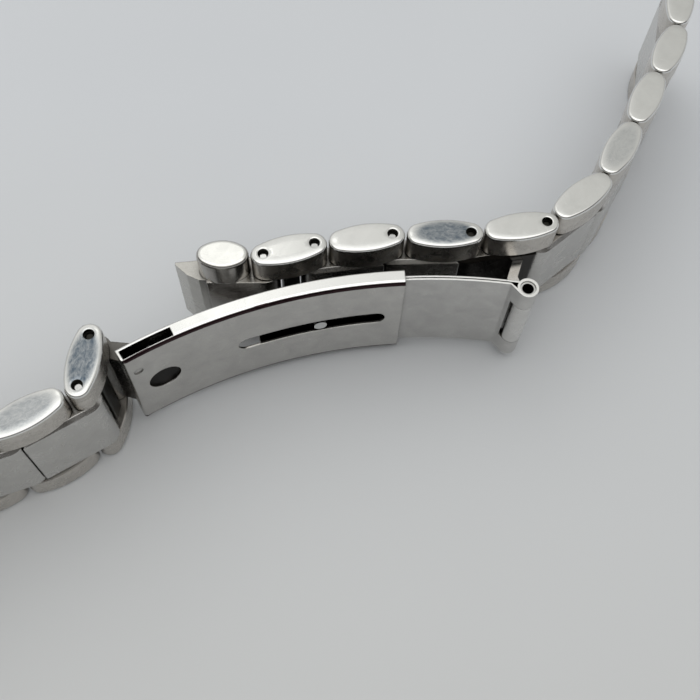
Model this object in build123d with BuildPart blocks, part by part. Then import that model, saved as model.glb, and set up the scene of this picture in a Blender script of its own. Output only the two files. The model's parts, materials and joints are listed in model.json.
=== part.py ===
from build123d import *
import math
import os

# Three-row link watch bracelet with a sliding folding clasp, shown open and standing on one edge.
# Millimetres. X runs along the clasp, Y from the wrist side to the far side, Z is the bracelet's width.
# All pins and hinges are parallel to Z. The origin is under the middle of the plan, on the table.

# Rows along the pins
band_width = 18.0
outer_width = 3.6
row_gap = 0.06

# Link outline in plan
link_length = 8.8
link_thickness = 3.8
link_end_radius = 1.43
link_gap = 0.2
rim_radius = 0.5
inner_edge_break = 0.13
bridge_thickness = 2.2

# Centre links
centre_thickness = 3.5
centre_bevel = 0.46
knuckle_relief = 0.27
stud_radius = 0.9
stud_length = 1.6
stud_clearance = 0.02

# Link pins
pin_radius = 0.5
press_clearance = 0.02
running_clearance = 0.05
pin_recess = 0.65
recess_radius = 0.63
pin_dome = 0.15
hidden_pin_reach = 1.9

# Tail end link and its nose
tail_head_length = 5.9
tail_block_inset = 0.9
nose_reach = 2.85
nose_rise = 0.95
nose_tip = 0.33
nose_root_drop = 1.37

# Cover blade, a channel bent on an arc that the inner blade shares
blade_radius = 63.32
sheet = 0.3
cover_margin = 1.1
cover_left = 39.95
cover_right = 7.3
channel_depth = 1.1
lip_width = 0.82
cover_bend = 0.5
pocket_length = 6.5
slot_left = 26.95
slot_right = 9.25
slot_half_width = 1.15
catch_hole_place = 36.1
catch_hole_radius = 1.95
dimple_place = 38.65
dimple_side = 4.2
dimple_radius = 0.55
dimple_depth = 0.13
catch_window_length = 2.6
catch_window_half_width = 5.7
end_slot_side = 4.0
end_slot_length = 2.6
end_slot_width = 0.55

# Catch spring in the cover's pocket
spring_sheet = 0.22
spring_side_gap = 2.57
spring_end_gap = 0.33
spring_bump_radius = 1.0
spring_bump_rise = 0.33

# Lug that joins the cover blade to the short side
end_lug_reach = 1.37
end_lug_rise = 4.41
end_lug_foot = 2.85
end_lug_sheet = 1.3

# Inner blade, a double leaf that wraps round its hinge tube
leaf = 0.2
leaf_gap = 0.12
blade_clearance = 0.49
blade_side_gap = 0.32
inner_blade_left = 24.2
barrel_place = 6.55
barrel_radius = 1.22
barrel_wall = 0.3
barrel_rise = 0.55
barrel_neck = 1.95
notch_half_width = 4.2
notch_reach = 1.5
rivet_place = 17.0
rivet_radius = 0.6
rivet_head_radius = 1.37
rivet_head_height = 0.33
rivet_pip_radius = 0.77
tube_wall = 0.23
tube_recess = 0.27

# Lug between the inner blade's barrel and the fourth link of the long side
lug_side_gap = 0.06
lug_drop = 7.27
lug_shift = 0.87
lug_plate = 1.3
lug_root = 0.1
lug_bow = 1.2
lug_bow_drop = 2.2
lug_neck = 1.3
lug_neck_inset = 0.3

# Bores for the watch's spring bars
spring_bar_bore_radius = 0.9

# Headings of the links as they lie, in degrees from X, away from the clasp's tail
tail_heading = 3.5
long_headings = [17.6, 11.8, 5.0, 13.0, 43.0, 62.0, 66.0, 66.0]
long_end_heading = 80.0
short_headings = [268.0, 215.1, 204.0, 216.0, 230.0]
short_end_heading = 244.0
lug_link = 4

# Links at the clasp that can be taken out, so their far pins show in the outer links
long_open_links = 4
short_open_links = 1

# Overrun of cutting solids
overrun = 1.0

# Worked out from the sizes above
middle = band_width / 2
link_pitch = link_length + link_gap
row_face = middle - outer_width
centre_half = row_face - row_gap
hinge_reach = link_length / 2 - link_end_radius
back_reach = link_pitch - hinge_reach
knuckle_radius = centre_thickness / 2
socket_radius = knuckle_radius + knuckle_relief
bore_radius = pin_radius + press_clearance
knuckle_bore_radius = pin_radius + running_clearance
open_pin_half = middle - pin_recess
hidden_pin_half = row_face + hidden_pin_reach
cover_half_width = middle - cover_margin
cover_inner_half = cover_half_width - sheet
spring_half_width = cover_inner_half - spring_side_gap
blade_half_width = cover_inner_half - blade_side_gap
cover_outer = blade_radius + 2 * sheet + channel_depth
channel_floor = blade_radius + sheet
near_leaf = channel_floor + blade_clearance
far_leaf = near_leaf + leaf + leaf_gap
blade_top = far_leaf + leaf
barrel_centre_radius = blade_top - barrel_radius + barrel_rise
tube_radius = barrel_radius - barrel_wall - press_clearance


def along(heading, distance):
    """Step of a given length in the direction of a heading."""
    angle = math.radians(heading)
    return Vector(distance * math.cos(angle), distance * math.sin(angle), 0)


def on_arc(place, radius):
    """Point at a distance along the blades' arc, counted from its top, at a radius from its centre."""
    angle = place / blade_radius
    return Vector(radius * math.sin(angle), radius * math.cos(angle), 0)


def arc_heading(place):
    """Heading of the blades' arc at a place along it."""
    return -math.degrees(place / blade_radius)


def lay_out():
    """Centres and hinges of all links, from the arc's centre, as the bracelet lies."""
    places = {}
    barrel = on_arc(barrel_place, barrel_centre_radius)
    lug_heading = long_headings[lug_link - 1]
    centre = barrel + along(lug_heading, lug_shift) + along(lug_heading + 90, lug_drop)
    places["barrel"] = barrel
    long_centres = {lug_link: centre}
    for number in range(lug_link + 1, len(long_headings) + 1):
        hinge = long_centres[number - 1] + along(long_headings[number - 2], hinge_reach)
        long_centres[number] = hinge + along(long_headings[number - 1], back_reach)
    for number in range(lug_link - 1, 0, -1):
        hinge = long_centres[number + 1] - along(long_headings[number], back_reach)
        long_centres[number] = hinge - along(long_headings[number - 1], hinge_reach)
    for number, heading in enumerate(long_headings, start=1):
        places[f"long_{number}"] = long_centres[number]
        places[f"long_{number}_hinge"] = long_centres[number] + along(heading, hinge_reach)
    last_hinge = places[f"long_{len(long_headings)}_hinge"]
    places["long_end"] = last_hinge + along(long_end_heading, back_reach)
    places["tail_hinge"] = long_centres[1] - along(long_headings[0], hinge_reach)
    places["cover_hinge"] = on_arc(-cover_left - end_lug_reach, blade_radius + end_lug_rise)
    centre = places["cover_hinge"] + along(short_headings[0], hinge_reach)
    for number, heading in enumerate(short_headings, start=1):
        if number > 1:
            centre = hinge + along(heading, back_reach)
        hinge = centre + along(heading, hinge_reach)
        places[f"short_{number}"] = centre
        places[f"short_{number}_hinge"] = hinge
    places["short_end"] = hinge + along(short_end_heading, back_reach)
    return places


def link_plane(centre, heading, height=0):
    """Plane of a link, X along the link, at a height from the bracelet's mid plane."""
    origin = centre + Vector(0, 0, middle + height)
    return Plane(origin=origin, x_dir=along(heading, 1), z_dir=(0, 0, 1))


def oval(length, thickness, end_radius):
    """Oval of two small end arcs and two large side arcs that meet them in tangency."""
    half_length = length / 2 - end_radius
    half_thickness = thickness / 2
    side_radius = (half_length**2 + half_thickness**2 - end_radius**2) / (2 * (half_thickness - end_radius))
    drop = side_radius - half_thickness
    lean = math.atan2(drop, half_length)
    touch = (half_length + end_radius * math.cos(lean), end_radius * math.sin(lean))
    with BuildLine() as outline:
        ThreePointArc((-touch[0], touch[1]), (0, half_thickness), touch)
        ThreePointArc(touch, (length / 2, 0), (touch[0], -touch[1]))
        ThreePointArc((touch[0], -touch[1]), (0, -half_thickness), (-touch[0], -touch[1]))
        ThreePointArc((-touch[0], -touch[1]), (-length / 2, 0), (-touch[0], touch[1]))
    return make_face(outline.edges())


def arc_band(inner, outer, start, end):
    """Band between two radii of the blades' arc, from one place along it to another."""
    start_angle = 90 + arc_heading(start)
    sweep = arc_heading(end) - arc_heading(start)
    with BuildLine() as outline:
        low = CenterArc((0, 0), inner, start_angle, sweep)
        high = CenterArc((0, 0), outer, start_angle, sweep)
        Line(low @ 0, high @ 0)
        Line(low @ 1, high @ 1)
    return make_face(outline.edges())


places = lay_out()

# Stance: the middle of the plan's box, made by all links and the end links' knuckles, is the origin
headings_by_link = {f"long_{number}": heading for number, heading in enumerate(long_headings, start=1)}
headings_by_link |= {f"short_{number}": heading for number, heading in enumerate(short_headings, start=1)}
headings_by_link |= {"long_end": long_end_heading, "short_end": short_end_heading}
boxes = []
for name, heading in headings_by_link.items():
    with BuildSketch(link_plane(places[name], heading)) as footprint:
        oval(link_length, link_thickness, link_end_radius)
        if name.endswith("end"):
            with Locations((hinge_reach, 0)):
                Circle(knuckle_radius)
    boxes.append(footprint.sketch.bounding_box())
plan_x = (min(box.min.X for box in boxes) + max(box.max.X for box in boxes)) / 2
plan_y = (min(box.min.Y for box in boxes) + max(box.max.Y for box in boxes)) / 2
shift = Vector(-plan_x, -plan_y, 0)
for name in list(places):
    places[name] = places[name] + shift


def blade_slice(height):
    """Plane across the blades, centred on their arc, at a height from the bracelet's mid plane."""
    return Plane(origin=shift + Vector(0, 0, middle + height))


def blade_normal(place, radius, side=0):
    """Plane that faces away from the blades' arc at a place, X along the bracelet's width."""
    origin = on_arc(place, radius) + shift + Vector(0, 0, middle + side)
    return Plane(origin=origin, x_dir=(0, 0, 1), z_dir=on_arc(place, 1))


os.makedirs("parts", exist_ok=True)


def save(piece, label):
    """Labels a finished piece and writes it."""
    piece.part.label = label
    export_step(piece.part, f"parts/{label}.step")


def outer_pair(label, heading, near_hole, far_radius, hidden_pin=False):
    """Top and bottom outer links of one pitch, joined by a bridge only where both their pins come out."""
    centre = places[label]
    sockets = []
    holes = []
    if hidden_pin:
        sockets.append((hinge_reach, bore_radius, hidden_pin_reach + press_clearance))
    else:
        holes.append((hinge_reach, far_radius))
    if near_hole:
        holes.append((-hinge_reach, bore_radius))
    else:
        sockets.append((-hinge_reach, stud_radius + stud_clearance, stud_length + stud_clearance))
    with BuildPart() as outers:
        with BuildSketch(link_plane(centre, heading, row_face)):
            oval(link_length, link_thickness, link_end_radius)
        extrude(amount=outer_width)
        rim = outers.faces().sort_by(Axis.Z)[-1].edges()
        fillet(rim, radius=rim_radius)
        seat = outers.faces().sort_by(Axis.Z)[0].edges()
        chamfer(seat, length=inner_edge_break)
        for place, radius in holes:
            with BuildSketch(link_plane(centre, heading, row_face - overrun)):
                with Locations((place, 0)):
                    Circle(radius)
            extrude(amount=outer_width + 2 * overrun, mode=Mode.SUBTRACT)
            if radius == bore_radius:
                with BuildSketch(link_plane(centre, heading, middle - pin_recess)):
                    with Locations((place, 0)):
                        Circle(recess_radius)
                extrude(amount=pin_recess + overrun, mode=Mode.SUBTRACT)
        for place, radius, depth in sockets:
            with BuildSketch(link_plane(centre, heading, row_face)):
                with Locations((place, 0)):
                    Circle(radius)
            extrude(amount=depth, mode=Mode.SUBTRACT)
        mirror(about=link_plane(centre, heading))
        if near_hole:
            with BuildSketch(link_plane(centre, heading, -row_face)):
                Rectangle(2 * (hinge_reach - socket_radius), bridge_thickness)
            extrude(amount=2 * row_face)
    save(outers, f"{label}_outers")


def centre_link(label, heading, last=False):
    """Centre link with studs for its own outer links, bored knuckles, and a socket for its neighbour."""
    start = -back_reach
    centre = places[label]
    knuckles = [(start, knuckle_bore_radius)]
    sockets = []
    if last:
        knuckles.append((hinge_reach, spring_bar_bore_radius))
    else:
        sockets.append((hinge_reach, socket_radius))
    with BuildPart() as middle_link:
        with BuildSketch(link_plane(centre, heading, -centre_half)):
            with Locations(((start + hinge_reach) / 2, 0)):
                Rectangle(hinge_reach - start, centre_thickness)
            for place, _ in knuckles:
                with Locations((place, 0)):
                    Circle(knuckle_radius)
        extrude(amount=2 * centre_half)
        long_edges = middle_link.edges().filter_by(Axis((0, 0, 0), along(heading, 1)))
        chamfer(long_edges, length=centre_bevel)
        with BuildSketch(link_plane(centre, heading, -row_face - stud_length)):
            with Locations((-hinge_reach, 0)):
                Circle(stud_radius)
        extrude(amount=2 * (row_face + stud_length))
        for place, radius in knuckles + sockets:
            with BuildSketch(link_plane(centre, heading, -centre_half)):
                with Locations((place, 0)):
                    Circle(radius)
            extrude(amount=2 * centre_half, mode=Mode.SUBTRACT)
    save(middle_link, f"{label}_centre")


def link_pin(label, spot, half):
    """Straight pin with domed ends, of a given half length."""
    with BuildPart() as pin:
        with BuildSketch(link_plane(places[spot], 0, -half)):
            Circle(pin_radius)
        extrude(amount=2 * half)
        ends = pin.edges().filter_by(GeomType.CIRCLE)
        fillet(ends, radius=pin_dome)
    save(pin, label)


# Both sides: links and pins counted from the clasp, then the end link with its spring bar bore.
# The first link is an H of two plates and a bridge, with its neighbours' knuckles at the bridge's sides.
for side, headings, end_heading, open_links in (
    ("long", long_headings, long_end_heading, long_open_links),
    ("short", short_headings, short_end_heading, short_open_links),
):
    for number, heading in enumerate(headings, start=1):
        link = f"{side}_{number}"
        hidden = number > open_links
        outer_pair(link, heading, number == 1, bore_radius, hidden)
        if number > 1:
            centre_link(link, heading)
        link_pin(f"{link}_pin", f"{link}_hinge", hidden_pin_half if hidden else open_pin_half)
    outer_pair(f"{side}_end", end_heading, False, spring_bar_bore_radius)
    centre_link(f"{side}_end", end_heading, last=True)
link_pin("cover_hinge_pin", "cover_hinge", open_pin_half)
link_pin("tail_hinge_pin", "tail_hinge", open_pin_half)

# Tail end link: a short oval head, and a square block with a knuckle that reaches the tail hinge
head_reach = back_reach - link_length / 2 + tail_head_length / 2
tail_centre = places["tail_hinge"] - along(tail_heading, head_reach)
row_step = (link_thickness - centre_thickness) / 2
block_start = tail_block_inset - tail_head_length / 2
with BuildPart() as tail_end_link:
    with BuildSketch(link_plane(tail_centre, tail_heading, -middle)):
        oval(tail_head_length, link_thickness, link_end_radius)
    extrude(amount=band_width)
    rims = tail_end_link.faces().filter_by(Axis.Z).edges()
    fillet(rims, radius=rim_radius)
    with BuildSketch(link_plane(tail_centre, tail_heading, -centre_half)):
        with Locations((0, link_thickness / 2), (0, -link_thickness / 2)):
            Rectangle(tail_head_length, 2 * row_step)
    extrude(amount=2 * centre_half, mode=Mode.SUBTRACT)
    with BuildSketch(link_plane(tail_centre, tail_heading, -centre_half)) as tail_block:
        with Locations((block_start, 0)):
            Rectangle(head_reach - block_start, centre_thickness, align=(Align.MIN, Align.CENTER))
        with Locations((head_reach, 0)):
            Circle(knuckle_radius)
    extrude(amount=2 * centre_half)
    with BuildSketch(link_plane(tail_centre, tail_heading, -centre_half - overrun)):
        with Locations((head_reach, 0)):
            Circle(knuckle_bore_radius)
    extrude(amount=2 * (centre_half + overrun), mode=Mode.SUBTRACT)
save(tail_end_link, "tail_end_link")

# Nose: a wedge across the tail's centre row, thin at its tip, which snaps into the cover's pocket
head_end = -tail_head_length / 2
nose_root = head_end + link_end_radius
with BuildPart() as tail_nose:
    with BuildSketch(link_plane(tail_centre, tail_heading, -centre_half)):
        with BuildLine():
            Polyline(
                (nose_root, link_end_radius),
                (head_end - nose_reach, nose_rise),
                (head_end - nose_reach, nose_rise - nose_tip),
                (head_end - nose_reach / 2, -nose_root_drop / 2),
                (head_end, -nose_root_drop),
                (nose_root, -link_end_radius),
                close=True,
            )
        make_face()
    extrude(amount=2 * centre_half)
    with BuildSketch(link_plane(tail_centre, tail_heading, -middle)):
        oval(tail_head_length, link_thickness, link_end_radius)
    extrude(amount=band_width, mode=Mode.SUBTRACT)
    extrude(tail_block.sketch, amount=2 * centre_half, mode=Mode.SUBTRACT)
save(tail_nose, "tail_nose")

# Cover blade: web, flanges with lips, pocket at its left end, slot and holes
pocket_end = -cover_left + pocket_length
with BuildPart() as clasp_cover:
    with BuildSketch(blade_slice(-cover_half_width)):
        arc_band(blade_radius, cover_outer, -cover_left, -cover_right)
    extrude(amount=2 * cover_half_width)
    bends = clasp_cover.edges().filter_by(GeomType.CIRCLE).group_by(SortBy.RADIUS)[0]
    left_corner = on_arc(-cover_left, blade_radius) + shift
    end_bend = clasp_cover.edges().filter_by(Axis.Z).sort_by_distance(left_corner)[0]
    fillet(bends + [end_bend], radius=cover_bend)
    with BuildSketch(blade_slice(-cover_half_width + sheet)):
        arc_band(channel_floor, cover_outer - sheet, pocket_end, -cover_right + overrun)
    extrude(amount=2 * (cover_half_width - sheet), mode=Mode.SUBTRACT)
    with BuildSketch(blade_slice(-cover_half_width + lip_width)):
        arc_band(channel_floor, cover_outer + overrun, pocket_end, -cover_right + overrun)
    extrude(amount=2 * (cover_half_width - lip_width), mode=Mode.SUBTRACT)
    with BuildSketch(blade_slice(-cover_half_width - overrun)):
        arc_band(channel_floor, cover_outer - sheet, -cover_left + sheet, pocket_end - sheet)
    extrude(amount=2 * (cover_half_width + overrun), mode=Mode.SUBTRACT)
    window_start = -cover_left + pocket_length / 2
    with BuildSketch(blade_slice(-catch_window_half_width)):
        window_end = window_start + catch_window_length
        arc_band(cover_outer - 2 * sheet, cover_outer + overrun, window_start, window_end)
    extrude(amount=2 * catch_window_half_width, mode=Mode.SUBTRACT)
    straight_left = -slot_left + slot_half_width
    straight_right = -slot_right - slot_half_width
    with BuildSketch(blade_slice(-slot_half_width)):
        arc_band(blade_radius - overrun, channel_floor + sheet, straight_left, straight_right)
    extrude(amount=2 * slot_half_width, mode=Mode.SUBTRACT)
    for place, radius in (
        (straight_left, slot_half_width),
        (straight_right, slot_half_width),
        (-catch_hole_place, catch_hole_radius),
    ):
        with BuildSketch(blade_normal(place, blade_radius - overrun)):
            Circle(radius)
        extrude(amount=overrun + 2 * sheet, mode=Mode.SUBTRACT)
    with BuildSketch(blade_normal(-dimple_place, blade_radius - overrun, dimple_side)):
        Circle(dimple_radius)
    extrude(amount=overrun + dimple_depth, mode=Mode.SUBTRACT)
    end_slot_spot = on_arc(-cover_left, (channel_floor + cover_outer - sheet) / 2)
    end_slot_mouth = end_slot_spot + shift + Vector(0, 0, middle + end_slot_side)
    end_slot_plane = Plane(origin=end_slot_mouth, x_dir=(0, 0, 1), z_dir=along(arc_heading(-cover_left), 1))
    with BuildSketch(end_slot_plane.offset(-sheet)):
        SlotOverall(end_slot_length, end_slot_width)
    extrude(amount=3 * sheet, mode=Mode.SUBTRACT)
save(clasp_cover, "clasp_cover")

# Catch spring: a leaf with a round bump that lies in the pocket on the web
with BuildPart() as catch_spring:
    with BuildSketch(blade_slice(-spring_half_width)):
        leaf_start = -cover_left + sheet + spring_end_gap
        leaf_end = pocket_end - sheet - spring_end_gap
        arc_band(channel_floor, channel_floor + spring_sheet, leaf_start, leaf_end)
        with BuildLine():
            bump_middle = (leaf_start + leaf_end) / 2
            bump_left = on_arc(bump_middle - spring_bump_radius, channel_floor + spring_sheet / 2)
            bump_top = on_arc(bump_middle, channel_floor + spring_sheet + spring_bump_rise)
            bump_right = on_arc(bump_middle + spring_bump_radius, channel_floor + spring_sheet / 2)
            ThreePointArc(bump_left, bump_top, bump_right)
            Line(bump_right, bump_left)
        make_face()
    extrude(amount=2 * spring_half_width)
save(catch_spring, "catch_spring")

# End lug: rises from the cover's pocket to the knuckle of the short side's hinge pin
foot_right = -cover_left + end_lug_foot
knuckle = places["cover_hinge"] - shift
with BuildPart() as cover_end_lug:
    with BuildSketch(blade_slice(-centre_half)):
        with BuildLine():
            Polyline(
                on_arc(-cover_left, cover_outer),
                knuckle + along(180 + arc_heading(-cover_left), knuckle_radius / 2),
                knuckle + along(arc_heading(-cover_left), knuckle_radius),
                on_arc(foot_right, cover_outer + end_lug_sheet / 2),
                on_arc(foot_right, cover_outer),
                close=True,
            )
        make_face()
        with Locations((knuckle.X, knuckle.Y)):
            Circle(knuckle_radius)
    extrude(amount=2 * centre_half)
    with BuildSketch(blade_slice(-centre_half - overrun)):
        arc_band(blade_radius - overrun, cover_outer, -cover_left - end_lug_foot, pocket_end)
        with Locations((knuckle.X, knuckle.Y)):
            Circle(knuckle_bore_radius)
    extrude(amount=2 * (centre_half + overrun), mode=Mode.SUBTRACT)
save(cover_end_lug, "cover_end_lug")

# Inner blade: two leaves, the near one dipping round the barrel, with a notch for the lug's knuckle
barrel_spot = places["barrel"] - shift
neck_place = barrel_place - barrel_neck
neck_low = on_arc(neck_place, near_leaf)
neck_high = on_arc(neck_place, near_leaf + leaf)
neck_way = neck_low - barrel_spot
touch_turn = math.degrees(math.acos(barrel_radius / neck_way.length))
touch_way = neck_way.normalized().rotate(Axis.Z, touch_turn)
with BuildPart() as inner_blade:
    with BuildSketch(blade_slice(-blade_half_width)):
        arc_band(near_leaf, near_leaf + leaf, -inner_blade_left, neck_place)
        arc_band(far_leaf, blade_top, -inner_blade_left, barrel_place - barrel_radius / 2)
        with BuildLine():
            Polyline(
                neck_low,
                barrel_spot + touch_way * barrel_radius,
                barrel_spot + touch_way * (barrel_radius - barrel_wall),
                neck_high,
                close=True,
            )
        make_face()
        with Locations((barrel_spot.X, barrel_spot.Y)):
            Circle(barrel_radius)
            Circle(tube_radius + press_clearance, mode=Mode.SUBTRACT)
    extrude(amount=2 * blade_half_width)
    notch_left = barrel_place - notch_reach
    notch_right = barrel_place + notch_reach
    with BuildSketch(blade_slice(-notch_half_width)):
        arc_band(barrel_centre_radius - 2 * barrel_radius, blade_top + overrun, notch_left, notch_right)
    extrude(amount=2 * notch_half_width, mode=Mode.SUBTRACT)
    with BuildSketch(blade_normal(-rivet_place, blade_radius)):
        Circle(rivet_radius + press_clearance)
    extrude(amount=blade_top - blade_radius + overrun, mode=Mode.SUBTRACT)
save(inner_blade, "inner_blade")

# Guide rivet: joins the leaves and rides in the cover's slot
with BuildPart() as guide_rivet:
    with BuildSketch(blade_normal(-rivet_place, blade_radius)):
        Circle(rivet_pip_radius)
    extrude(amount=near_leaf - blade_radius)
    with BuildSketch(blade_normal(-rivet_place, near_leaf)):
        Circle(rivet_radius)
    extrude(amount=blade_top - near_leaf)
    with BuildSketch(blade_normal(-rivet_place, blade_top)):
        Circle(rivet_head_radius)
    extrude(amount=rivet_head_height)
save(guide_rivet, "guide_rivet")

# Hinge tube of the barrel
tube_half = blade_half_width - tube_recess
with BuildPart() as blade_hinge_tube:
    with BuildSketch(link_plane(places["barrel"], 0, -tube_half)):
        Circle(tube_radius)
        Circle(tube_radius - tube_wall, mode=Mode.SUBTRACT)
    extrude(amount=2 * tube_half)
save(blade_hinge_tube, "blade_hinge_tube")

# Blade lug: a bowed plate from the fourth centre link to a knuckle round the hinge tube
lug_heading = long_headings[lug_link - 1]
lug_half = notch_half_width - lug_side_gap
lug_top = -centre_thickness / 2
plate_half = lug_plate / 2
bow_middle = -lug_root - lug_bow
bow_height = lug_top - lug_bow_drop
neck_height = lug_neck - lug_drop
neck_left = -lug_shift - barrel_radius + lug_neck_inset
with BuildPart() as blade_lug:
    with BuildSketch(link_plane(places[f"long_{lug_link}"], lug_heading, -lug_half)):
        with BuildLine():
            Polyline(
                (-lug_root - plate_half, lug_top),
                (bow_middle - plate_half, bow_height),
                (neck_left, neck_height),
                (neck_left, -lug_drop),
                (-lug_shift, -lug_drop),
                (neck_left + lug_plate, neck_height),
                (bow_middle + plate_half, bow_height),
                (-lug_root + plate_half, lug_top),
                close=True,
            )
        make_face()
        with Locations((-lug_shift, -lug_drop)):
            Circle(barrel_radius)
            Circle(tube_radius + running_clearance, mode=Mode.SUBTRACT)
    extrude(amount=2 * lug_half)
save(blade_lug, "blade_lug")
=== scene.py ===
import json
import math

import bmesh
import bpy
from mathutils import Matrix, Vector
from mathutils.geometry import delaunay_2d_cdt


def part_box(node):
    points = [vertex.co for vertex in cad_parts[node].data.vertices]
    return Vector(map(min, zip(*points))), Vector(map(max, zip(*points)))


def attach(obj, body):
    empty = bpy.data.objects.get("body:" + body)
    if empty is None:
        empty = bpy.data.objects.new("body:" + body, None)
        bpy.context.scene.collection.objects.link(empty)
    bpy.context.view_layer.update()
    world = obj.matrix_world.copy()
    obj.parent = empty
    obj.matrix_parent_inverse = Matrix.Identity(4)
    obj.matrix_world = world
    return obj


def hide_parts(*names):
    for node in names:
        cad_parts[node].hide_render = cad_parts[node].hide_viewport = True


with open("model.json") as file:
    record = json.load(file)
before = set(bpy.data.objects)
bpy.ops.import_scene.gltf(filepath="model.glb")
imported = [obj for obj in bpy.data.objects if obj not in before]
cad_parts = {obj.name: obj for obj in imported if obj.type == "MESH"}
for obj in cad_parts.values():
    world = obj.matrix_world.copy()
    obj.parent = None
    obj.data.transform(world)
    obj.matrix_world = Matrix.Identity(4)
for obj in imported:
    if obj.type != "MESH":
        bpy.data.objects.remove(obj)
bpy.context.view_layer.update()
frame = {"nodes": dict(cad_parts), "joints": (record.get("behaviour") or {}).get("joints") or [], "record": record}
nodes = frame["nodes"]
joints = {joint["name"]: joint for joint in frame["joints"]}
mounts = {mount["name"]: mount for mount in frame["record"]["mounts"]}

MM = 0.001

# Camera, solved from the outlines of the links in the photograph, which is 700 pixels wide.
# Pitch and roll are in radians, and the sensor's width is in millimetres.
PHOTO_WIDTH_PX = 700
FOCAL_PX = 942.4
SENSOR_WIDTH = 36.0
CAMERA_PITCH = 1.1165
CAMERA_ROLL = -0.0565
CAMERA_FROM_ARC_CENTRE = Vector((-13.14 * MM, 9.52 * MM, 0))
CAMERA_HEIGHT = 108.4 * MM
NEAREST_IN_VIEW = 1 * MM

# Links, as in the CAD. The band stands on one edge, so its mid plane is half its width above the table.
BAND_WIDTH = 18.0 * MM
HALF_WIDTH = BAND_WIDTH / 2
OUTER_WIDTH = 3.6 * MM
LINK_LENGTH = 8.8 * MM
LINK_THICKNESS = 3.8 * MM
LINK_END_RADIUS = 1.43 * MM
HINGE_REACH = LINK_LENGTH / 2 - LINK_END_RADIUS
PIN_BORE_RADIUS = 0.52 * MM
PIN_RECESS_RADIUS = 0.63 * MM
PIN_RECESS_DEPTH = 0.65 * MM
HIDDEN_PIN_DEPTH = 1.92 * MM
SPRING_BAR_RADIUS = 0.9 * MM
STUD_SOCKET_RADIUS = 0.92 * MM
STUD_SOCKET_DEPTH = 1.62 * MM

# How many links, counted from the tail's end and from the cover, show a pin hole at their far end
OPEN_LINKS = {"long": 4, "short": 1}

# Bridge between the two plates of the first link on each side
BRIDGE_LENGTH = 1.9 * MM
BRIDGE_THICKNESS = 2.2 * MM
BRIDGE_CORNER = 0.2 * MM

# Shape of an outer link: a chamfer round its seat, and on its end face a rounded rim, then a crown
# that fades into a flat. A thin ring, a little sunk, goes round each pin hole.
SEAT_EDGE = 0.13 * MM
RIM_RADIUS = 0.36 * MM
CROWN_SLOPE = math.radians(7)
CROWN_WIDTH = 0.9 * MM
RING_WIDTH = 0.15 * MM
RING_SINK = 0.05 * MM

# Heights and insets that follow from that shape, above the band's mid plane and inside the oval
SEAT_HEIGHT = HALF_WIDTH - OUTER_WIDTH
CROWN_RISE = math.tan(CROWN_SLOPE) * CROWN_WIDTH / 2
RIM_TURN = math.pi / 2 - CROWN_SLOPE
CROWN_START = RIM_RADIUS * (1 - math.cos(RIM_TURN))
WALL_TOP = HALF_WIDTH - CROWN_RISE - RIM_RADIUS * math.sin(RIM_TURN)

# Steps that the curved forms are divided into
OVAL_END_STEPS = 20
OVAL_SIDE_STEPS = 40
HOLE_STEPS = 40
WALL_STEPS = 6
RIM_STEPS = 7
CROWN_STEPS = 12
CORNER_STEPS = 4

# Least distance of a face's points from a hole's centre, in radii of the hole, and the distance
# within which two points are one
HOLE_MARGIN = 1.06
MERGE_DISTANCE = 1e-9

# Edges that turn by more than this are shaded sharp
SHARP_ANGLE = math.radians(32)

# Material slots of the outer links
WALL, FACE, BORE = range(3)

# Cover blade's slot, behind which the inner blade gets a strip of painted shade, with some grime, as far as the
# cover reaches
SLOT_HALF_WIDTH = 1.15 * MM
TRACK_FADE = 0.3 * MM
TRACK_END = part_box("clasp_cover")[1][0]
TRACK_END_FADE = 1 * MM

# Painted highlights along the edges of the sheets, which start at the sheets' half widths
COVER_HALF_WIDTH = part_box("clasp_cover")[1][2] - HALF_WIDTH
BLADE_HALF_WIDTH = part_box("inner_blade")[1][2] - HALF_WIDTH
BORDER_FADE = 0.05 * MM
FOLD_WIDTH = 0.6 * MM

# Side of the lug's link that faces the blades, given painted shade where the lug shades it
LUG_LINK_HEADING = math.radians(13)
LUG_LINK_FRONT = (math.sin(LUG_LINK_HEADING), -math.cos(LUG_LINK_HEADING), 0)

# Pins whose ends are painted black as painted shade for their deep recesses
SHADED_PINS = ("cover_hinge_pin", "long_3_pin", "long_4_pin")

# Links whose end faces get a painted dark bluish reflection, with its strength
DARK_REFLECTION_LINKS = {"long_3": 0.95, "long_6": 0.3, "short_1": 1.0, "short_2": 0.6}

# Marks on steel: their sizes, for each set of scratches its turn in radians and its width, the ranges
# of noise over which a mark fades in, and how much the marks change roughness and height
SMEAR_SIZE = 2.6 * MM
GRAIN_SIZE = 0.09 * MM
BLOTCH_SIZE = 0.45 * MM
SCRATCH_PATCH_SIZE = 1.4 * MM
NOISE_RANGE = (0.35, 0.65)
SCRATCH_SETS = ((0.5, 0.045 * MM), (1.3, 0.06 * MM), (2.5, 0.05 * MM))
SCRATCH_STRETCH = (38, 1, 12)
SCRATCH_RANGE = (0.7, 0.78)
SCRATCH_PATCH_RANGE = (0.42, 0.62)
SCRATCH_ROUGHNESS = 0.15
GRAIN_DEPTH = 0.15
BUMP_STRENGTH = 0.3
BUMP_DISTANCE = 0.01 * MM

# Painted side shade fades in by the cosine of a face's turn from the shaded side. Painted shade, which also
# stands for some grime, is full where no more than this share of the surroundings is open.
SIDE_SHADE_RANGE = (0.3, 0.6)
SHADE_FULL_BELOW = 0.25

# The painted dark reflection fades in from the rim, by the square of the distance from a link's middle in half
# lengths and half thicknesses. Its blotches take it down to a share over a range of noise.
DARK_REFLECTION_RANGE = (0.9, 0.3)
BLOTCH_RANGE = (0.32, 0.62)
BLOTCH_SHARE = 0.6
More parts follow.
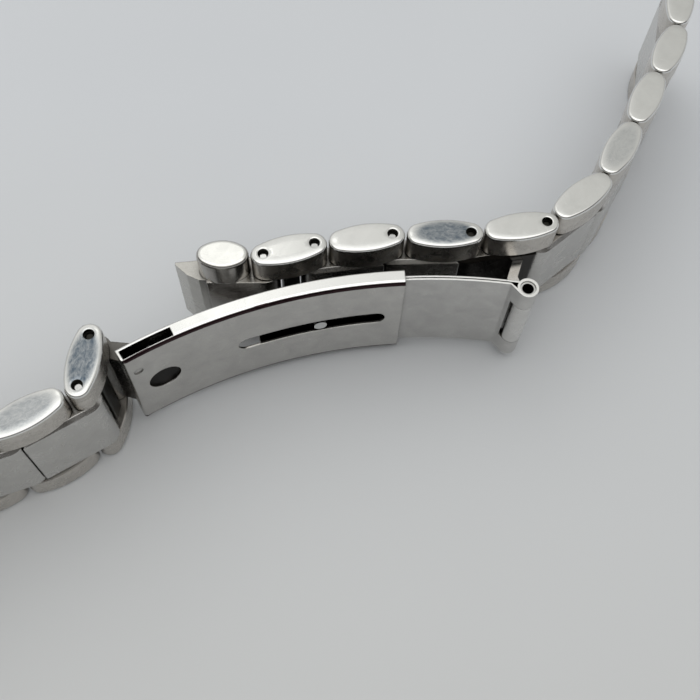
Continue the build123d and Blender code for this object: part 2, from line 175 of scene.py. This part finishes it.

# Colours painted on the steel: painted shade, which also stands for some grime; painted shade on one side; a
# painted dark reflection along a fold; and a painted dark bluish reflection
SHADE_AND_GRIME_COLOUR = (0.02, 0.018, 0.014)
SIDE_SHADE_COLOUR = (0.02, 0.018, 0.016)
FOLD_REFLECTION_COLOUR = (0.035, 0.02, 0.022)
DARK_REFLECTION_COLOUR = (0.055, 0.09, 0.13)

# Table top, which turns from its near tone to its far tone between two places along Y; the brighter far tone is
# painted light
FLOOR_HALF_SIZE = 0.6
FLOOR_CELLS = 8
CLOUD_SIZE = 60 * MM
SPECK_SIZE = 0.5 * MM
NEAR_TONE_END = -45 * MM
FAR_TONE_START = 35 * MM

# Small bright window in the room, by azimuth and elevation, full up to one angle from its
# middle and gone at the other, all in degrees
WINDOW_PLACE = (-16, 58.5)
WINDOW_FULL = 1.4
WINDOW_GONE = 5.0

# Lamp, by azimuth and elevation in degrees, its distance and diameter in metres and its power in watts
LAMP_PLACE = (-45, 50)
LAMP_DISTANCE = 0.5
LAMP_DIAMETER = 0.4
LAMP_POWER = 0.36


class Graph:
    """Short calls for the nodes of one material or world."""

    def __init__(self, tree):
        self.tree = tree

    def node(self, kind, **settings):
        """A new node with some of its settings."""
        made = self.tree.nodes.new(kind)
        for name, value in settings.items():
            setattr(made, name, value)
        return made

    def link(self, value, socket):
        """Joins an output to a socket, or sets the socket to a number or a tuple."""
        if isinstance(value, (int, float, tuple)):
            socket.default_value = value
        else:
            self.tree.links.new(value, socket)

    def math(self, operation, first, second=0.0):
        """The result of one operation on two values."""
        made = self.node("ShaderNodeMath", operation=operation)
        self.link(first, made.inputs[0])
        self.link(second, made.inputs[1])
        return made.outputs[0]

    def weighted_sum(self, first, first_share, second, second_share):
        """Two values added in given shares."""
        return self.math(
            "ADD", self.math("MULTIPLY", first, first_share), self.math("MULTIPLY", second, second_share)
        )

    def ramp(self, value, low, high, out_low=0.0, out_high=1.0, smooth=False):
        """A value that goes from out_low to out_high while the given one goes from low to high."""
        made = self.node("ShaderNodeMapRange")
        if smooth:
            made.interpolation_type = "SMOOTHSTEP"
        self.link(value, made.inputs["Value"])
        limits = {"From Min": low, "From Max": high, "To Min": out_low, "To Max": out_high}
        for name, number in limits.items():
            made.inputs[name].default_value = number
        return made.outputs["Result"]

    def mix(self, share, low, high):
        """A colour between two, each an output or a tuple."""
        made = self.node("ShaderNodeMix", data_type="RGBA")
        self.link(share, made.inputs[0])
        for socket, colour in ((made.inputs[6], low), (made.inputs[7], high)):
            self.link((*colour, 1.0) if isinstance(colour, tuple) else colour, socket)
        return made.outputs[2]

    def split(self, vector):
        """The X, Y and Z of a vector, as a node's outputs."""
        made = self.node("ShaderNodeSeparateXYZ")
        self.link(vector, made.inputs[0])
        return made.outputs

    def facing(self, vector, way):
        """How far a unit vector points in a given direction, as the cosine of the angle between them."""
        made = self.node("ShaderNodeVectorMath", operation="DOT_PRODUCT")
        self.link(vector, made.inputs[0])
        made.inputs[1].default_value = way
        return made.outputs["Value"]

    def noise(self, vector, size, stretch=(1, 1, 1), turn=0.0, detail=3.0, roughness=0.6, distortion=0.0):
        """Noise with features of a size in metres, as many times more along an axis as stretch says."""
        spin = self.node("ShaderNodeMapping")
        spin.inputs["Rotation"].default_value = (0, 0, turn)
        self.link(vector, spin.inputs["Vector"])
        squeeze = self.node("ShaderNodeMapping")
        squeeze.inputs["Scale"].default_value = [1 / (size * times) for times in stretch]
        self.link(spin.outputs["Vector"], squeeze.inputs["Vector"])
        texture = self.node("ShaderNodeTexNoise")
        texture.inputs["Scale"].default_value = 1.0
        texture.inputs["Detail"].default_value = detail
        texture.inputs["Roughness"].default_value = roughness
        texture.inputs["Distortion"].default_value = distortion
        self.link(squeeze.outputs["Vector"], texture.inputs["Vector"])
        return texture.outputs["Fac"]


def new_material(name):
    """A new node material, with its graph, its Principled shader and the piece's own coordinates."""
    material = bpy.data.materials.new(name)
    material.use_nodes = True
    graph = Graph(material.node_tree)
    shader = material.node_tree.nodes["Principled BSDF"]
    place = graph.node("ShaderNodeTexCoord").outputs["Object"]
    return material, graph, shader, place


def scratch_marks(graph, place):
    """Sets of long thin scratches that cross each other, in patches."""
    marks = 0.0
    for turn, width in SCRATCH_SETS:
        lines = graph.noise(place, width, SCRATCH_STRETCH, turn, detail=1, distortion=0.15)
        marks = graph.math("MAXIMUM", marks, graph.ramp(lines, *SCRATCH_RANGE))
    patches = graph.ramp(graph.noise(place, SCRATCH_PATCH_SIZE, detail=2), *SCRATCH_PATCH_RANGE)
    return graph.math("MULTIPLY", marks, patches)


def add_highlight_border(graph, colour, off_middle, highlight, height, fold_reflection):
    """A painted highlight from just inside a height on, with a painted dark reflection before it along a fold."""
    if fold_reflection:
        line_start = height - FOLD_WIDTH
        line = graph.ramp(off_middle, line_start, line_start + BORDER_FADE)
        colour = graph.mix(line, colour, FOLD_REFLECTION_COLOUR)
    beyond = graph.ramp(off_middle, height - 2 * BORDER_FADE, height - BORDER_FADE)
    return graph.mix(beyond, colour, highlight)


def add_dark_reflection(graph, colour, place, spot, strength):
    """A blotched, painted dark bluish reflection inside the rim of a link's end face."""
    along = graph.math("POWER", graph.math("DIVIDE", spot["X"], LINK_LENGTH / 2), 2.0)
    across = graph.math("POWER", graph.math("DIVIDE", spot["Y"], LINK_THICKNESS / 2), 2.0)
    inside = graph.ramp(graph.math("ADD", along, across), *DARK_REFLECTION_RANGE, smooth=True)
    blotches = graph.noise(place, BLOTCH_SIZE, (2, 1, 1), detail=5, roughness=0.8, distortion=0.4)
    reflection_strength = graph.math("MULTIPLY", graph.ramp(blotches, *BLOTCH_RANGE, 1.0, BLOTCH_SHARE), strength)
    return graph.mix(graph.math("MULTIPLY", inside, reflection_strength), colour, DARK_REFLECTION_COLOUR)


def add_shade_track(graph, colour, spot, off_middle, strength):
    """A strip of painted shade, with some grime, at mid width, as far along as the cover blade reaches."""
    track_edge = SLOT_HALF_WIDTH + TRACK_FADE
    across = graph.ramp(off_middle, SLOT_HALF_WIDTH, track_edge, strength, 0.0, smooth=True)
    along = graph.ramp(spot["X"], TRACK_END - TRACK_END_FADE, TRACK_END, 1.0, 0.0, smooth=True)
    return graph.mix(graph.math("MULTIPLY", across, along), colour, SHADE_AND_GRIME_COLOUR)


def add_side_shade(graph, colour, side):
    """Painted shade on the faces that look in one direction."""
    normal = graph.node("ShaderNodeNewGeometry").outputs["Normal"]
    return graph.mix(graph.ramp(graph.facing(normal, side), *SIDE_SHADE_RANGE), colour, SIDE_SHADE_COLOUR)


def add_shade_and_grime(graph, colour, strength, reach, closed_below):
    """Painted shade, which also stands for some grime, where the surroundings within reach, in millimetres, leave
    less open than closed_below.
    """
    openness = graph.node("ShaderNodeAmbientOcclusion", samples=16)
    openness.inputs["Distance"].default_value = reach * MM
    closed = graph.ramp(openness.outputs["AO"], SHADE_FULL_BELOW, closed_below, strength, 0.0)
    return graph.mix(closed, colour, SHADE_AND_GRIME_COLOUR)


def steel(
    name, dark, light, rough, brush=(8, 8, 1), brush_size=0.05, brush_depth=0.5, scratches=0.5, edge=0.0,
    shade_and_grime=0.0, reach=0.9, closed_below=0.85, highlight=None, border_height=HALF_WIDTH, fold_reflection=False,
    slot_shade=0.0, dark_reflection=0.0, shaded_side=None,
):
    """Stainless steel: fine brushing, crossing scratches, faint smears, and softly rounded edges.

    Its colour goes from dark to light, and rough is the range of its roughness. The size of the
    brushing's lines, the radius of the edges and the reach of the painted shade, which also stands for
    some grime, are in millimetres, and brush says how many sizes long the lines are along each axis.
    The border is a painted highlight, and its height is its distance from the band's mid plane, on both
    sides of it; along a fold a painted dark reflection comes before it. The strip of painted shade behind
    the slot and the painted dark bluish reflection on end faces take strengths, and painted shade
    goes on the faces that look in the shaded side's direction.
    """
    material, graph, shader, place = new_material(name)
    shader.inputs["Metallic"].default_value = 1.0
    smears = graph.noise(place, SMEAR_SIZE, detail=4, distortion=0.6)
    grain = graph.noise(place, GRAIN_SIZE, detail=2)
    brushing = graph.noise(place, brush_size * MM, brush, detail=3, roughness=0.7)
    marks = scratch_marks(graph, place)
    spot = graph.split(place)
    off_middle = graph.math("ABSOLUTE", graph.math("SUBTRACT", spot["Z"], HALF_WIDTH))

    tone = graph.weighted_sum(smears, 0.6, brushing, 0.4)
    colour = graph.mix(graph.ramp(tone, *NOISE_RANGE), dark, light)
    # Painted highlight along the top edges of a sheet, or on the end faces of the tail's link
    if highlight:
        colour = add_highlight_border(graph, colour, off_middle, highlight, border_height, fold_reflection)
    # Painted dark bluish reflection on the end faces
    if dark_reflection:
        colour = add_dark_reflection(graph, colour, place, spot, dark_reflection)
    # Painted shade, with some grime, on the inner blade behind the cover's slot
    if slot_shade:
        colour = add_shade_track(graph, colour, spot, off_middle, slot_shade)
    # Painted shade on the faces that look towards the lug that shades them
    if shaded_side:
        colour = add_side_shade(graph, colour, shaded_side)
    # Painted shade in recesses and crevices, which also stands for some grime
    if shade_and_grime:
        colour = add_shade_and_grime(graph, colour, shade_and_grime, reach, closed_below)
    graph.link(colour, shader.inputs["Base Color"])

    wear = graph.weighted_sum(smears, 0.7, grain, 0.3)
    roughness = graph.ramp(wear, *NOISE_RANGE, *rough)
    scratched = graph.math("MULTIPLY", marks, SCRATCH_ROUGHNESS)
    graph.link(graph.math("ADD", roughness, scratched), shader.inputs["Roughness"])

    height = graph.math("MULTIPLY", brushing, brush_depth)
    height = graph.math("SUBTRACT", height, graph.math("MULTIPLY", marks, scratches))
    height = graph.math("ADD", height, graph.math("MULTIPLY", grain, GRAIN_DEPTH))
    bump = graph.node("ShaderNodeBump")
    bump.inputs["Strength"].default_value = BUMP_STRENGTH
    bump.inputs["Distance"].default_value = BUMP_DISTANCE
    graph.link(height, bump.inputs["Height"])
    if edge:
        bevel = graph.node("ShaderNodeBevel", samples=8)
        bevel.inputs["Radius"].default_value = edge * MM
        graph.link(bevel.outputs["Normal"], bump.inputs["Normal"])
    graph.link(bump.outputs["Normal"], shader.inputs["Normal"])
    return material


def polished_steel(name, dark_reflection=0.0):
    """Polished steel of the outer links' end faces."""
    return steel(
        name, dark=(0.72, 0.72, 0.7), light=(0.8, 0.8, 0.78), rough=(0.09, 0.17),
        brush=(6, 1, 1), brush_depth=0.35, scratches=1.1, shade_and_grime=0.9, reach=0.6, dark_reflection=dark_reflection,
    )


def table_top():
    """Pale grey table top with a faint unevenness, a little brighter and bluer far away; the brightness far away
    is painted light.
    """
    material, graph, shader, place = new_material("table_top")
    cloud = graph.noise(place, CLOUD_SIZE, detail=2)
    far = graph.ramp(graph.split(place)["Y"], NEAR_TONE_END, FAR_TONE_START)
    near_tone = graph.mix(cloud, (0.575, 0.585, 0.59), (0.605, 0.615, 0.62))
    far_tone = graph.mix(cloud, (0.6, 0.62, 0.65), (0.64, 0.66, 0.685))
    graph.link(graph.mix(far, near_tone, far_tone), shader.inputs["Base Color"])
    speck = graph.noise(place, SPECK_SIZE, detail=3)
    graph.link(graph.ramp(speck, 0.3, 0.7, out_low=0.5, out_high=0.62), shader.inputs["Roughness"])
    shader.inputs["Specular IOR Level"].default_value = 0.2
    return material


class Oval:
    """Oval of two small end arcs and two large side arcs that meet them in tangency."""

    def __init__(self, length, thickness, end_radius):
        half = thickness / 2
        self.end_radius = end_radius
        self.reach = length / 2 - end_radius
        self.side_radius = (self.reach**2 + half**2 - end_radius**2) / (2 * (half - end_radius))
        self.drop = self.side_radius - half
        self.lean = math.atan2(self.drop, self.reach)

    def loop(self, inset):
        """Points of the oval drawn in by an inset, on arcs about the same centres."""
        end_sweep = 2 * self.lean
        side_sweep = math.pi - 2 * self.lean
        arcs = (
            ((self.reach, 0), self.end_radius, -self.lean, OVAL_END_STEPS, end_sweep),
            ((0, -self.drop), self.side_radius, self.lean, OVAL_SIDE_STEPS, side_sweep),
            ((-self.reach, 0), self.end_radius, math.pi - self.lean, OVAL_END_STEPS, end_sweep),
            ((0, self.drop), self.side_radius, math.pi + self.lean, OVAL_SIDE_STEPS, side_sweep),
        )
        points = []
        for (x, y), radius, start, steps, sweep in arcs:
            shrunk = radius - inset
            for step in range(steps):
                angle = start + sweep * step / steps
                points.append((x + shrunk * math.cos(angle), y + shrunk * math.sin(angle)))
        return points

    def depth(self, x, y):
        """Distance of an inner point from the oval's edge."""
        x, y = abs(x), abs(y)
        if x > self.reach and math.atan2(y, x - self.reach) < self.lean:
            return self.end_radius - math.hypot(x - self.reach, y)
        return self.side_radius - math.hypot(x, y + self.drop)


def ring(bm, centre, radius, height):
    """Vertices of a circle, at a height given as a number or as a function of the place."""
    made = []
    for step in range(HOLE_STEPS):
        angle = 2 * math.pi * step / HOLE_STEPS
        x, y = centre + radius * math.cos(angle), radius * math.sin(angle)
        made.append(bm.verts.new((x, y, height(x, y) if callable(height) else height)))
    return made


def join_loops(bm, low, high, slot=WALL):
    """Quads between two loops of equal length."""
    for index in range(len(low)):
        after = (index + 1) % len(low)
        bm.faces.new((low[index], low[after], high[after], high[index])).material_index = slot


def holed_face(bm, outer, holes, inner_points=(), height=None, upward=True, slot=WALL):
    """Face inside a convex loop, round some circular holes, through further points at their own heights."""
    loops = [outer] + [loop for _, _, loop in holes]
    verts = [vert for loop in loops for vert in loop]
    edges = []
    start = 0
    for loop in loops:
        edges += [(start + index, start + (index + 1) % len(loop)) for index in range(len(loop))]
        start += len(loop)
    for x, y in inner_points:
        if all(math.hypot(x - centre, y) > radius * HOLE_MARGIN for centre, radius, _ in holes):
            verts.append(bm.verts.new((x, y, height(x, y))))
    flat = [Vector((vert.co.x, vert.co.y)) for vert in verts]
    _, _, triangles, origins, _, _ = delaunay_2d_cdt(flat, edges, [], 0, MERGE_DISTANCE)
    for triangle in triangles:
        corners = [verts[origins[index][0]] for index in triangle]
        middle = sum((corner.co for corner in corners), Vector()) / 3
        if any(math.hypot(middle.x - centre, middle.y) < radius for centre, radius, _ in holes):
            continue
        face = bm.faces.new(corners)
        face.normal_update()
        if (face.normal.z > 0) != upward:
            face.normal_flip()
        face.material_index = slot


def plate_side(bm, oval):
    """Chamfer, wall and rim of an outer link. Gives the loops round its seat and round its end face."""
    def loop_at(inset, height):
        return [bm.verts.new((x, y, height)) for x, y in oval.loop(inset)]

    wall_foot = SEAT_HEIGHT + SEAT_EDGE
    seat_loop = loop_at(SEAT_EDGE, SEAT_HEIGHT)
    low = loop_at(0, wall_foot)
    join_loops(bm, seat_loop, low)
    for step in range(1, WALL_STEPS + 1):
        high = loop_at(0, wall_foot + (WALL_TOP - wall_foot) * step / WALL_STEPS)
        join_loops(bm, low, high)
        low = high
    for step in range(1, RIM_STEPS + 1):
        angle = RIM_TURN * step / RIM_STEPS
        high = loop_at(RIM_RADIUS * (1 - math.cos(angle)), WALL_TOP + RIM_RADIUS * math.sin(angle))
        join_loops(bm, low, high, FACE)
        low = high
    return seat_loop, low


def pin_hole(bm, centre, radius, crown):
    """Hole through an outer link, wider over a sunk pin. Gives its circles in the end face and the seat."""
    recess = PIN_RECESS_RADIUS if radius == PIN_BORE_RADIUS else radius
    mouth = ring(bm, centre, recess + RING_WIDTH, crown)
    sunk = ring(bm, centre, recess, lambda x, y: crown(x, y) - RING_SINK)
    join_loops(bm, mouth, sunk, FACE)
    bottom = ring(bm, centre, recess, HALF_WIDTH - PIN_RECESS_DEPTH)
    join_loops(bm, sunk, bottom, BORE)
    if recess != radius:
        step_in = ring(bm, centre, radius, HALF_WIDTH - PIN_RECESS_DEPTH)
        join_loops(bm, bottom, step_in, BORE)
        bottom = step_in
    through = ring(bm, centre, radius, SEAT_HEIGHT)
    join_loops(bm, bottom, through, BORE)
    return (centre, recess + RING_WIDTH, mouth), (centre, radius, through)


def blind_socket(bm, centre, radius, depth):
    """Blind hole in an outer link's seat. Gives its circle there."""
    floor = ring(bm, centre, radius, SEAT_HEIGHT + depth)
    mouth = ring(bm, centre, radius, SEAT_HEIGHT)
    join_loops(bm, floor, mouth)
    bm.faces.new(floor)
    return centre, radius, mouth


def outer_plate(bm, oval, holes, sockets):
    """One outer link above the mid plane, with its pin holes and the blind sockets in its seat."""
    def crown(x, y):
        share = min(max((oval.depth(x, y) - CROWN_START) / CROWN_WIDTH, 0), 1)
        return HALF_WIDTH - CROWN_RISE * (1 - share) ** 2

    seat_loop, face_loop = plate_side(bm, oval)
    face_holes = []
    seat_holes = []
    for centre, radius in holes:
        face_hole, seat_hole = pin_hole(bm, centre, radius, crown)
        face_holes.append(face_hole)
        seat_holes.append(seat_hole)
    inner_points = []
    for step in range(1, CROWN_STEPS + 2):
        inner_points += oval.loop(CROWN_START + CROWN_WIDTH * step / CROWN_STEPS)
    holed_face(bm, face_loop, face_holes, inner_points, crown, slot=FACE)
    for centre, radius, depth in sockets:
        seat_holes.append(blind_socket(bm, centre, radius, depth))
    holed_face(bm, seat_loop, seat_holes, upward=False)


def add_mirrored_half(bm):
    """Adds the lower half, mirrored about the band's mid plane."""
    copy = bmesh.ops.duplicate(bm, geom=bm.verts[:] + bm.edges[:] + bm.faces[:])["geom"]
    for element in copy:
        if isinstance(element, bmesh.types.BMVert):
            element.co.z = -element.co.z
    bmesh.ops.reverse_faces(bm, faces=[face for face in copy if isinstance(face, bmesh.types.BMFace)])


def add_bridge(bm):
    """Round-edged block that joins the two plates of a link at its middle."""
    corners = ((1, 1), (-1, 1), (-1, -1), (1, -1))
    loops = []
    for height in (-SEAT_HEIGHT, SEAT_HEIGHT):
        loop = []
        for quarter, (across, up) in enumerate(corners):
            x = across * (BRIDGE_LENGTH / 2 - BRIDGE_CORNER)
            y = up * (BRIDGE_THICKNESS / 2 - BRIDGE_CORNER)
            for step in range(CORNER_STEPS + 1):
                angle = math.pi / 2 * (quarter + step / CORNER_STEPS)
                turn_x, turn_y = BRIDGE_CORNER * math.cos(angle), BRIDGE_CORNER * math.sin(angle)
                loop.append(bm.verts.new((x + turn_x, y + turn_y, height)))
        loops.append(loop)
    # The bridge takes the bores' slot, with its near-black painted shade
    join_loops(bm, *loops, slot=BORE)
    for loop in loops:
        bm.faces.new(loop).material_index = BORE


def place_piece(name, bm, transform, materials):
    """A mesh object from a bmesh, smooth but for its sharp edges, placed by its own transform."""
    bmesh.ops.recalc_face_normals(bm, faces=bm.faces)
    for face in bm.faces:
        face.smooth = True
    for edge in bm.edges:
        edge.smooth = len(edge.link_faces) == 2 and edge.calc_face_angle() < SHARP_ANGLE
    mesh = bpy.data.meshes.new(name)
    bm.to_mesh(mesh)
    bm.free()
    for material in materials:
        mesh.materials.append(material)
    piece = bpy.data.objects.new(name, mesh)
    bpy.context.scene.collection.objects.link(piece)
    piece.matrix_world = transform
    return piece


def link_spots():
    """Each link's body with its two hinge spots, first the one towards the tail's end or the cover.

    long_4 is carried by the clasp's hinge, so both of its link pins are where its neighbours bend.
    """
    def hinge(name):
        return Vector(joints[name]["pos_m"])

    long_hinges = ["tail_end", *(f"long_{number}" for number in (1, 2, 3, 5, 6, 7, 8, "end"))]
    long_spots = [hinge(f"{name}_bend") for name in long_hinges]
    long_spots.append(Vector(mounts["long_end_spring_bar_bore"]["pos_m"]))
    short_hinges = [f"short_{number}" for number in (1, 2, 3, 4, 5, "end")]
    short_spots = [hinge(f"{name}_bend") for name in short_hinges]
    short_spots.append(Vector(mounts["short_end_spring_bar_bore"]["pos_m"]))
    links = []
    for side, spots in (("long", long_spots), ("short", short_spots)):
        for number in range(1, len(spots)):
            body = f"{side}_end" if number == len(spots) - 1 else f"{side}_{number}"
            links.append((body, spots[number - 1], spots[number]))
    return links


def link_transform(near, far):
    """Transform of a link, X from its near hinge to its far one, origin midway along the outer link."""
    way = (far - near).normalized()
    centre = far - way * HINGE_REACH
    return Matrix.Translation(centre) @ Matrix.Rotation(math.atan2(way.y, way.x), 4, "Z")


def make_outer_links(walls, faces, shaded_bores, dark_reflection_faces):
    """Both outer links of each pitch, and the first ones' bridge, in place of the CAD's."""
    oval = Oval(LINK_LENGTH, LINK_THICKNESS, LINK_END_RADIUS)
    for body, near, far in link_spots():
        side, number = body.split("_")
        first = number == "1"
        sockets = [] if first else [(-HINGE_REACH, STUD_SOCKET_RADIUS, STUD_SOCKET_DEPTH)]
        holes = []
        if number == "end":
            holes.append((HINGE_REACH, SPRING_BAR_RADIUS))
        elif int(number) <= OPEN_LINKS[side]:
            holes.append((HINGE_REACH, PIN_BORE_RADIUS))
        else:
            sockets.append((HINGE_REACH, PIN_BORE_RADIUS, HIDDEN_PIN_DEPTH))
        if first:
            holes.append((-HINGE_REACH, PIN_BORE_RADIUS))
        bm = bmesh.new()
        outer_plate(bm, oval, holes, sockets)
        add_mirrored_half(bm)
        if first:
            add_bridge(bm)
        materials = (walls, dark_reflection_faces.get(body, faces), shaded_bores)
        piece = place_piece(f"{body}_outer_links", bm, link_transform(near, far), materials)
        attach(piece, body)
        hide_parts(f"{body}_outers")


def dress(names, material):
    """Gives CAD nodes a material."""
    for name in names:
        slots = nodes[name].data.materials
        slots.clear()
        slots.append(material)


def make_floor(material):
    """Table top under the bracelet."""
    bm = bmesh.new()
    bmesh.ops.create_grid(bm, x_segments=FLOOR_CELLS, y_segments=FLOOR_CELLS, size=FLOOR_HALF_SIZE)
    floor = place_piece("table", bm, Matrix.Identity(4), (material,))


def make_camera():
    """The photograph's camera, placed from the centre of the arc that both blades share."""
    arc_centre = Vector(joints["inner_blade_slide"]["pos_m"])
    forward = Vector((0, math.cos(CAMERA_PITCH), -math.sin(CAMERA_PITCH)))
    level = Vector((1, 0, 0))
    down = forward.cross(level)
    cosine, sine = math.cos(CAMERA_ROLL), math.sin(CAMERA_ROLL)
    right = cosine * level + sine * down
    up = sine * level - cosine * down
    data = bpy.data.cameras.new("photo_camera")
    data.sensor_width = SENSOR_WIDTH
    data.lens = FOCAL_PX / PHOTO_WIDTH_PX * SENSOR_WIDTH
    data.clip_start = NEAREST_IN_VIEW
    camera = bpy.data.objects.new("photo_camera", data)
    place = arc_centre + CAMERA_FROM_ARC_CENTRE
    turn = Matrix((right, up, -forward)).transposed().to_4x4()
    camera.matrix_world = Matrix.Translation((place.x, place.y, CAMERA_HEIGHT)) @ turn
    bpy.context.scene.collection.objects.link(camera)
    bpy.context.scene.camera = camera


def direction(azimuth, elevation):
    """Unit vector, azimuth counted from +Y towards +X, in degrees."""
    turn, rise = math.radians(azimuth), math.radians(elevation)
    return Vector((math.sin(turn) * math.cos(rise), math.cos(turn) * math.cos(rise), math.sin(rise)))


def make_world():
    """Plain room: bright above and behind the bracelet, dark where the viewer is, pale at the horizon."""
    left_wall = (0.92, 0.92, 0.9)
    right_wall = (0.68, 0.68, 0.66)
    far_foot = (0.3, 0.3, 0.29)
    viewer_side = (0.07, 0.065, 0.06)
    above_viewer = (1.4, 1.4, 1.38)
    ceiling = (1.5, 1.5, 1.48)
    window_light = (1.6, 1.6, 1.55)
    backdrop = (0.55, 0.56, 0.575)

    world = bpy.data.worlds.new("room")
    bpy.context.scene.world = world
    world.use_nodes = True
    graph = Graph(world.node_tree)
    way = graph.node("ShaderNodeTexCoord").outputs["Generated"]
    spot = graph.split(way)
    to_right = graph.ramp(spot["X"], -0.12, 0.22)
    up_far_wall = graph.ramp(spot["Z"], 0.05, 0.8)
    up_viewer_side = graph.ramp(spot["Z"], 0.5, 0.85, smooth=True)
    to_viewer = graph.ramp(spot["Y"], 0.25, -0.15, smooth=True)
    to_ceiling = graph.ramp(spot["Z"], 0.88, 0.97, smooth=True)
    above_horizon = graph.ramp(spot["Z"], 0.12, 0.3, smooth=True)
    window_gone = math.cos(math.radians(WINDOW_GONE))
    window_full = math.cos(math.radians(WINDOW_FULL))
    facing_window = graph.facing(way, direction(*WINDOW_PLACE))
    to_window = graph.ramp(facing_window, window_gone, window_full, smooth=True)

    far = graph.mix(up_far_wall, far_foot, graph.mix(to_right, left_wall, right_wall))
    near = graph.mix(up_viewer_side, viewer_side, above_viewer)
    colour = graph.mix(to_viewer, far, near)
    colour = graph.mix(to_ceiling, colour, ceiling)
    colour = graph.mix(to_window, colour, window_light)
    colour = graph.mix(above_horizon, backdrop, colour)
    background = world.node_tree.nodes["Background"]
    graph.link(colour, background.inputs["Color"])
    background.inputs["Strength"].default_value = 1.0


def make_lamp():
    """One large soft lamp, high on the left behind the bracelet, left out of reflections."""
    data = bpy.data.lights.new("window", "AREA")
    data.shape = "DISK"
    data.size = LAMP_DIAMETER
    data.energy = LAMP_POWER
    lamp = bpy.data.objects.new("window", data)
    spot = direction(*LAMP_PLACE) * LAMP_DISTANCE
    lamp.location = spot
    lamp.rotation_euler = spot.to_track_quat("Z", "Y").to_euler()
    lamp.visible_glossy = False
    bpy.context.scene.collection.objects.link(lamp)


make_camera()
make_world()
make_lamp()
make_floor(table_top())

# Steel of the outer links
face_steel = polished_steel("polished_steel")
# End faces with a painted dark bluish reflection, one material for each such link
dark_reflection_steels = {
    body: polished_steel(f"dark_reflection_steel_{number}", strength)
    for number, (body, strength) in enumerate(DARK_REFLECTION_LINKS.items(), start=1)
}
wall_steel = steel(
    "wall_steel", dark=(0.46, 0.435, 0.4), light=(0.64, 0.61, 0.57), rough=(0.23, 0.33),
    brush=(1, 1, 8), shade_and_grime=0.3, reach=3.0, closed_below=0.6,
)
# Near-black steel: painted shade inside the pin holes, on the links' bridges and on the ends of deep-set pins
bore_shade_steel = steel("bore_shade_steel", dark=(0.02, 0.02, 0.018), light=(0.05, 0.048, 0.042), rough=(0.35, 0.5))

# Steel of the centre links and of the tail's end
centre_steel = steel(
    "centre_steel", dark=(0.5, 0.49, 0.47), light=(0.6, 0.59, 0.57), rough=(0.2, 0.3),
    edge=0.15, shade_and_grime=0.95, reach=4.0, closed_below=0.7,
)
# Centre steel with painted shade on the side of the lug's link that faces the blades
lug_link_shaded_steel = steel(
    "lug_link_shaded_steel", dark=(0.5, 0.49, 0.47), light=(0.6, 0.59, 0.57), rough=(0.2, 0.3),
    edge=0.15, shade_and_grime=0.95, reach=4.0, shaded_side=LUG_LINK_FRONT,
)
# The tail's link gets a painted highlight on its end faces
tail_steel = steel(
    "tail_steel", dark=(0.42, 0.405, 0.38), light=(0.54, 0.525, 0.5), rough=(0.14, 0.24),
    edge=0.15, shade_and_grime=0.85, reach=4.0, closed_below=0.7, highlight=(0.82, 0.82, 0.79),
)
nose_steel = steel(
    "satin_steel", dark=(0.44, 0.43, 0.405), light=(0.54, 0.53, 0.5), rough=(0.2, 0.3),
    edge=0.1, shade_and_grime=0.95, reach=4.0,
)

# Steel of the clasp
# The cover gets a painted highlight along its top edges and a painted dark reflection along its fold
cover_steel = steel(
    "cover_steel", dark=(0.48, 0.47, 0.45), light=(0.6, 0.585, 0.56), rough=(0.16, 0.26),
    edge=0.2, shade_and_grime=0.97, reach=2.0, highlight=(0.86, 0.86, 0.84), border_height=COVER_HALF_WIDTH, fold_reflection=True,
)
# The inner blade gets a painted highlight along its top edges
blade_steel = steel(
    "blade_steel", dark=(0.48, 0.47, 0.455), light=(0.6, 0.59, 0.57), rough=(0.16, 0.26),
    edge=0.05, shade_and_grime=0.97, reach=1.2, highlight=(0.9, 0.9, 0.88), border_height=BLADE_HALF_WIDTH, slot_shade=0.9,
)
# Lighter steel with less painted shade for the blade's lug: painted light that lifts it out of the shade it sits
# in
lug_steel = steel(
    "lug_steel", dark=(0.6, 0.59, 0.57), light=(0.72, 0.71, 0.69), rough=(0.2, 0.3),
    edge=0.1, shade_and_grime=0.5, reach=2.0,
)
end_lug_steel = steel(
    "end_lug_steel", dark=(0.17, 0.165, 0.155), light=(0.25, 0.24, 0.225), rough=(0.2, 0.3),
    edge=0.1, shade_and_grime=0.95, reach=4.0,
)
# Near-black catch spring: painted shade for the dark catch hole it sits in
shaded_spring_steel = steel(
    "shaded_spring_steel", dark=(0.006, 0.005, 0.005), light=(0.012, 0.011, 0.01), rough=(0.35, 0.5), shade_and_grime=0.95,
)

# Steel of the pins, the rivet and the hinge tube
pin_steel = steel(
    "pin_steel", dark=(0.6, 0.6, 0.59), light=(0.7, 0.7, 0.69), rough=(0.08, 0.16),
    brush=(1, 1, 1), brush_depth=0.2,
)

make_outer_links(wall_steel, face_steel, bore_shade_steel, dark_reflection_steels)
dress([name for name in nodes if name.endswith("_centre")], centre_steel)
dress(["long_4_centre"], lug_link_shaded_steel)
dress(["tail_end_link"], tail_steel)
dress(["tail_nose"], nose_steel)
dress(["clasp_cover"], cover_steel)
dress(["inner_blade"], blade_steel)
dress(["blade_lug"], lug_steel)
dress(["cover_end_lug"], end_lug_steel)
dress(["catch_spring"], shaded_spring_steel)
dress([name for name in nodes if name.endswith("_pin")], pin_steel)
dress(["guide_rivet", "blade_hinge_tube"], pin_steel)
# These pins' ends take the bores' near-black painted shade
dress(SHADED_PINS, bore_shade_steel)

bpy.context.scene.view_settings.view_transform = "Standard"
